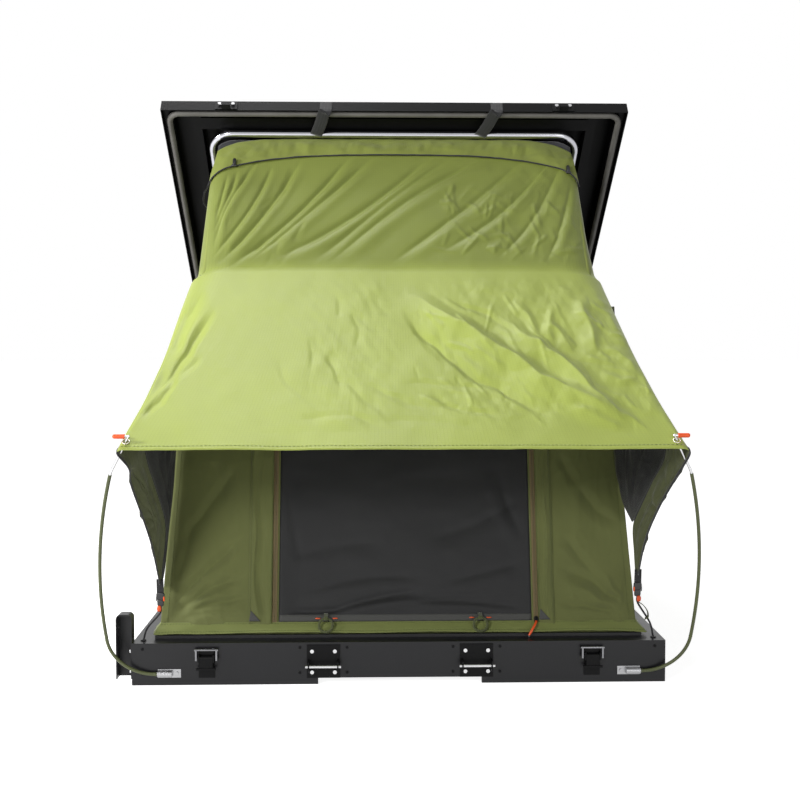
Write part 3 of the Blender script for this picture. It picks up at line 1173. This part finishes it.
bottom = np.stack([np.linspace(SIDE_FRONT, SIDE_REAR, SIDE_NU), np.full(SIDE_NU, WALL_Z)], -1)
run = run_of(SIDE_CORNERS)
top = np.stack([np.interp(np.linspace(0, run[-1], SIDE_NU), run, SIDE_CORNERS[:, k]) for k in range(2)], -1)
side_yz = mix(bottom[:, None], top[:, None], np.linspace(0, 1, SIDE_NV)[None, :, None])
hem = bottom[8:-8] + [0, 0.026]
front = mix(SIDE_CORNERS[0], SIDE_CORNERS[1], np.linspace(0.03, 0.97, 160)[:, None]) + [0.022, 0]
rows = []
for side, name in ((-1, "left"), (1, "right")):
    yz = side_yz[::-side]
    g = side_points(yz, side)
    wall = base_piece(name + "_wall_cloth", [slab_parts(g, CLOTH, yz)], "canvas", "canvas", name + "_wall")
    declare(2.07, 1.28, area_of(g))
    for row in (hem, hem + [0, 0.004], front, front + [0.004, 0]):
        rows += stitch_parts(side_points(row, side, 0.0012), (side, 0, 0), 0.010, 0.007)
base_piece("side_stitching", rows, "thread", "canvas")

# Wings under the awning, cloth in front and mesh behind. Their edges are pixels, some with the y of the point
WING_FRONT = {-1: [(117, 453, -1.325), (129, 468, -1.29), (131, 484, -1.25), (142, 515, -1.19),
                   (152, 546, -1.125), (160, 584, -1.067)],
              1: [(690, 453, -1.325), (678, 474, -1.285), (660, 505, -1.22), (646, 538, -1.145),
                  (638, 574, -1.077)]}
WING_BACK = {-1: [(146, 455, -1.205), (156, 488, -1.15), (165, 518, -1.10), (166, 540, -1.085),
                  (163, 566, -1.074)],
             1: [(665, 454, -1.205), (652, 482, -1.155), (640, 507, -1.115), (633, 526, -1.09),
                 (634, 552, -1.082)]}
WING_HEEL = {-1: [(176, 452), (173.5, 488), (170, 520), (167, 550), (164.5, 572), (161.5, 586)],
             1: [(614, 452), (619, 485), (623, 503), (632, 522)]}
MESH_END = {-1: 583, 1: 521}
HEAD_FRONT, HEAD_BACK, HEAD_HEEL = 0.012, 0.11, 0.5
TAPE_SIDE = (0, 0.8, 0.6)
FRONT_TAPE, INNER_TAPE, HEEL_TAPE = (0.008, 0.0024), (0.006, 0.0024), (0.020, 0.0012)
MESH_THICK = 0.0008


def wing_head(v, side):
    """Points just inside the fly's turned down edge."""
    q = fly_yz(v) - fly_normal(v) * (fly_round(v) * (1 - math.cos(FLY_DROP)) + 0.0006)[..., None]
    return xyz(side * (fly_half(v, side > 0) - 0.002), q)


def before_wall(px, py, out):
    """Point in front of the wall's plane that the camera sees at a pixel."""
    ray = px_ray(px, py)
    return CAM_AT + ray * ((wall_pt(0.0, 0.0, out) - CAM_AT) @ WALL_OUT) / (ray @ WALL_OUT)


def hung(first, last, v0, v1, side, rows):
    """Cloth between two edges, with its head along the fly's edge, and its grid's two coordinates."""
    a, b = grid_of(np.linspace(0, 1, rows), np.linspace(0, 1, len(first)))
    k = a[..., None]
    head = wing_head(mix(v0, v1, a[:, 0]), side)[:, None]
    near = head + mix(first - first[:1], last - last[:1], k)
    return mix(near, mix(first, last, k), smooth(b * 7)[..., None]), a, b


meshes, tape, heels, wing_foot = [], [], [], {}
for side, name in ((-1, "left"), (1, "right")):
    tops = wing_head(np.array([HEAD_FRONT, HEAD_BACK, HEAD_HEEL]), side)
    front = even(curve_pts([tops[0]] + [at_px(*q) for q in WING_FRONT[side]], 120), 90)
    foot = wing_foot[side] = front[-1]
    back = [tops[1]] + [at_px(*q) for q in WING_BACK[side]] + [foot + [-side * 0.004, 0.012, 0.002]]
    back = even(curve_pts(back, 120), 90)
    g, a, b = hung(front, back, HEAD_FRONT, HEAD_BACK, side, 50)
    waves = 0.018 * np.sin(7 * a + 3 * b) * a * (1 - a) + 0.004 * fbm(a * 2 + b, b * 5, 101 + side)
    waves += 0.006 * (creases(a * 3, b * 5, 105 + side) - 0.3)
    g[..., 0] += side * np.sin(math.pi * b) * (1 - a**4) * waves
    g = g[::-side]
    slab = slab_parts(g, THIN_CLOTH)
    wing = lid_piece(name + "_wing_cloth", [slab], "canvas_dark", "fly_cloth", name + "_wing", **WING_FOLD)
    declare(0.62, 0.16, area_of(g))
    last = np.argmin(np.abs(to_px(back)[1] - MESH_END[side]))
    inner = even(back[:last + 1], 60)
    tape += [ribbon_parts(front, TAPE_SIDE, *FRONT_TAPE), ribbon_parts(inner, TAPE_SIDE, *INNER_TAPE)]
    heel = even(curve_pts([tops[2]] + [before_wall(*q, 0.008) for q in WING_HEEL[side]], 90), 60)
    g, a, b = hung(inner, heel, HEAD_BACK, HEAD_HEEL, side, 40)
    waves = 0.008 * fbm(a * 4, b * 3, 111 + side) + 0.010 * (creases(a * 5, b * 3, 115 + side) - 0.3)
    g[..., 0] += side * np.sin(math.pi * b) * np.sin(math.pi * a) * waves
    meshes.append(g[::-side])
    if side > 0:
        heels.append(ribbon_parts(heel[3:50] + [0.010, -0.006, 0], X_AXIS, *HEEL_TAPE))
mesh_slabs = [slab_parts(g, MESH_THICK) for g in meshes]
wing_mesh = lid_piece("wing_mesh_cloth", mesh_slabs, "mesh", "mesh", "wing_mesh", **WING_FOLD)
declare(0.62, 0.4, sum(area_of(g) for g in meshes))
lid_piece("wing_binding", tape, "web", "webbing", **WING_FOLD)
lid_piece("wing_heel", heels, "canvas_dark", "fly_cloth", **WING_FOLD)

# Buckled straps from the wings to the base's corners, and a loop beside the right one
BUCKLE, CLASP, PRONG = (0.020, 0.019, 0.0080), (0.016, 0.017, 0.0062), (0.0034, 0.014, 0.006)
LOW_TAB, SIDE_TAB, FOOT_TAB = (0.011, 0.015, 0.008), (0.004, 0.012, 0.005), (0.014, 0.012, 0.003)
STRAP_TAPE, CORNER_TAPE, CORD_R = (0.017, 0.0014), (0.014, 0.0016), 0.0024
straps, buckles, tabs = [], [], []
down, fore = unit(np.array([0, 0.10, -1.0])), unit(np.array([0, -1.0, -0.10]))
for side in (-1, 1):
    top = wing_foot[side]
    out = X_AXIS * side
    axes = (out, down, fore)
    c = top + down * 0.030
    buckles.append(pillow_parts(c, axes, BUCKLE))
    buckles.append(pillow_parts(c + down * 0.017, axes, CLASP, 3.4))
    for dx in (-0.0088, 0.0088):
        buckles.append(pillow_parts(c + out * dx + down * 0.006, axes, PRONG, 3, 8))
    at = c + fore * 0.003
    tabs.append(pillow_parts(at + down * 0.030 + out * 0.003, axes, LOW_TAB, 2.6, 8))
    tabs.append(pillow_parts(at + down * 0.006 - out * 0.009, axes, SIDE_TAB, 3, 8))
    strap = curve_pts([top - down * 0.012, top + down * 0.006, c - down * 0.004], 10)
    straps.append(ribbon_parts(strap, out, *STRAP_TAPE))
    foot = np.array([side * 0.612, -1.062, RIM_Z + 0.0015])
    slack = mix(c + down * 0.03, foot, 0.62) + out * 0.006
    cord = curve_pts([c + down * 0.022, c + down * 0.042 + out * 0.002, slack, foot], 30)
    straps.append(tube_parts(cord, CORD_R, 8))
    straps.append(pillow_parts(foot, np.diag([side, 1, 1]), FOOT_TAB, 3, 8))
base_piece("strap_buckles", buckles, "plastic", "webbing", "fly_straps", **STRAP_FOLD)
base_piece("buckle_straps", straps, "web", "webbing", **STRAP_FOLD)
base_piece("buckle_tabs", tabs, "orange", "orange", **STRAP_FOLD)
CORNER_LOOP = np.array([(0, 0, 0), (0.012, 0, -0.008), (0.022, 0, -0.022), (0.024, 0.002, -0.036),
                        (0.018, 0.006, -0.042)])
loop = curve_pts(wing_foot[1] + [0.002, 0.004, -0.068] + CORNER_LOOP, 30)
loop = ribbon_parts(loop, (0, 1, 0), *CORNER_TAPE)
base_piece("corner_loop", [loop], "web_olive", "webbing", **STRAP_FOLD)

# Pull straps over the lid's lip. Their route gives the share of lean, way behind the lid's edge and height
PULL_TAPE = 0.033, 0.0015
PULL_ROUTE = [(0, -0.0012, 0.034), (0.01, -0.0012, 0.018), (0.03, -0.0012, 0.002), (0.10, 0.0010, -0.0035),
              (0.24, 0.008, -0.0055), (0.55, 0.042, -0.0068), (1, 0.0815, -0.0068)]
pulls = []
for x, lean in ((-0.188, 0.030), (0.277, 0.041)):
    route = [(x - lean * k, *lid_pt(t, d)) for k, t, d in PULL_ROUTE]
    pulls.append(ribbon_parts(curve_pts(route, 40), X_AXIS, *PULL_TAPE))
pulls = join_parts("pull_webbing", pulls, M["web"])
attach(pulls, "lid")
dress(pulls, ["pull_straps"])

# Mattress: crowned cover with sewn channels
BED_HALF_X, BED_HALF_Y, BED_MID_Y, BED_MID_Z = 0.5205, 0.981, 0.0425, 0.0444
BED_UP, BED_DOWN = 0.0232, 0.0236
u, v = grid_of(np.linspace(-1, 1, 120), np.linspace(-1, 1, 180))
puff = np.sqrt(np.clip((1 - np.abs(u) ** 10) * (1 - np.abs(v) ** 16), 0, 1))
channel = bell(np.sin(math.pi * 3 * v) / 0.10) + bell(np.sin(math.pi * 2 * u) / 0.12)
xy = np.stack([BED_HALF_X * u, BED_MID_Y + BED_HALF_Y * v], -1)
crown = (BED_UP * (1 - 0.16 * np.clip(channel, 0, 1)) + 0.0006 * fbm(u * 9, v * 14, 121)) * puff
top, low = (np.concatenate([xy, (BED_MID_Z + dz)[..., None]], -1) for dz in (crown, -BED_DOWN * puff))
bed = join_parts("mattress_cover", [shell_parts(top, low, xy)], M["bed"])
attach(bed, "base")
dress(bed, ["mattress"])

# Materials and softened edges of the CAD nodes that stay
for names, key, edge in (
    ("front_panel rear_panel left_panel right_panel lower_rails side_brackets", "shell", 0.0024),
    ("lid_shell", "lid", 0.0010), ("lid_beams lid_crossbars", "tube", 0.001), ("lid_seal", "seal", 0),
    ("top_hoop", "hoop", 0), ("bow_hoop bow_legs", "alu", 0), ("mount_rails", "rail", 0.0008),
    ("keepers latch_plates left_lever right_lever ladder_brackets", "bracket", 0.0009),
    ("hinge_base hinge_lid strut_brackets strut_studs bow_brackets panel_rivets", "bracket", 0.0006),
    ("ladder_rods ladder_bolts bracket_bolts keeper_bolts hinge_pins left_hook right_hook", "steel", 0.0004),
    ("left_bail right_bail", "bail", 0.0004), ("pole_sockets", "socket", 0.0006), ("strut_rods", "chrome", 0),
    ("left_cap right_cap", "orange", 0.0008), ("left_pole right_pole", "pole", 0),
    ("floor_panel", "floor", 0), ("tent_track", "track", 0.0006), ("strut_cylinders", "strut", 0.0006),
):
    for name in names.split():
        obj = NODES[name]
        for slot in obj.material_slots:
            slot.material = M[key]
        if edge:
            bevel = obj.modifiers.new("soft_edges", "BEVEL")
            bevel.width = edge
            bevel.segments = 2
            bevel.limit_method = "ANGLE"
            bevel.angle_limit = math.radians(40)
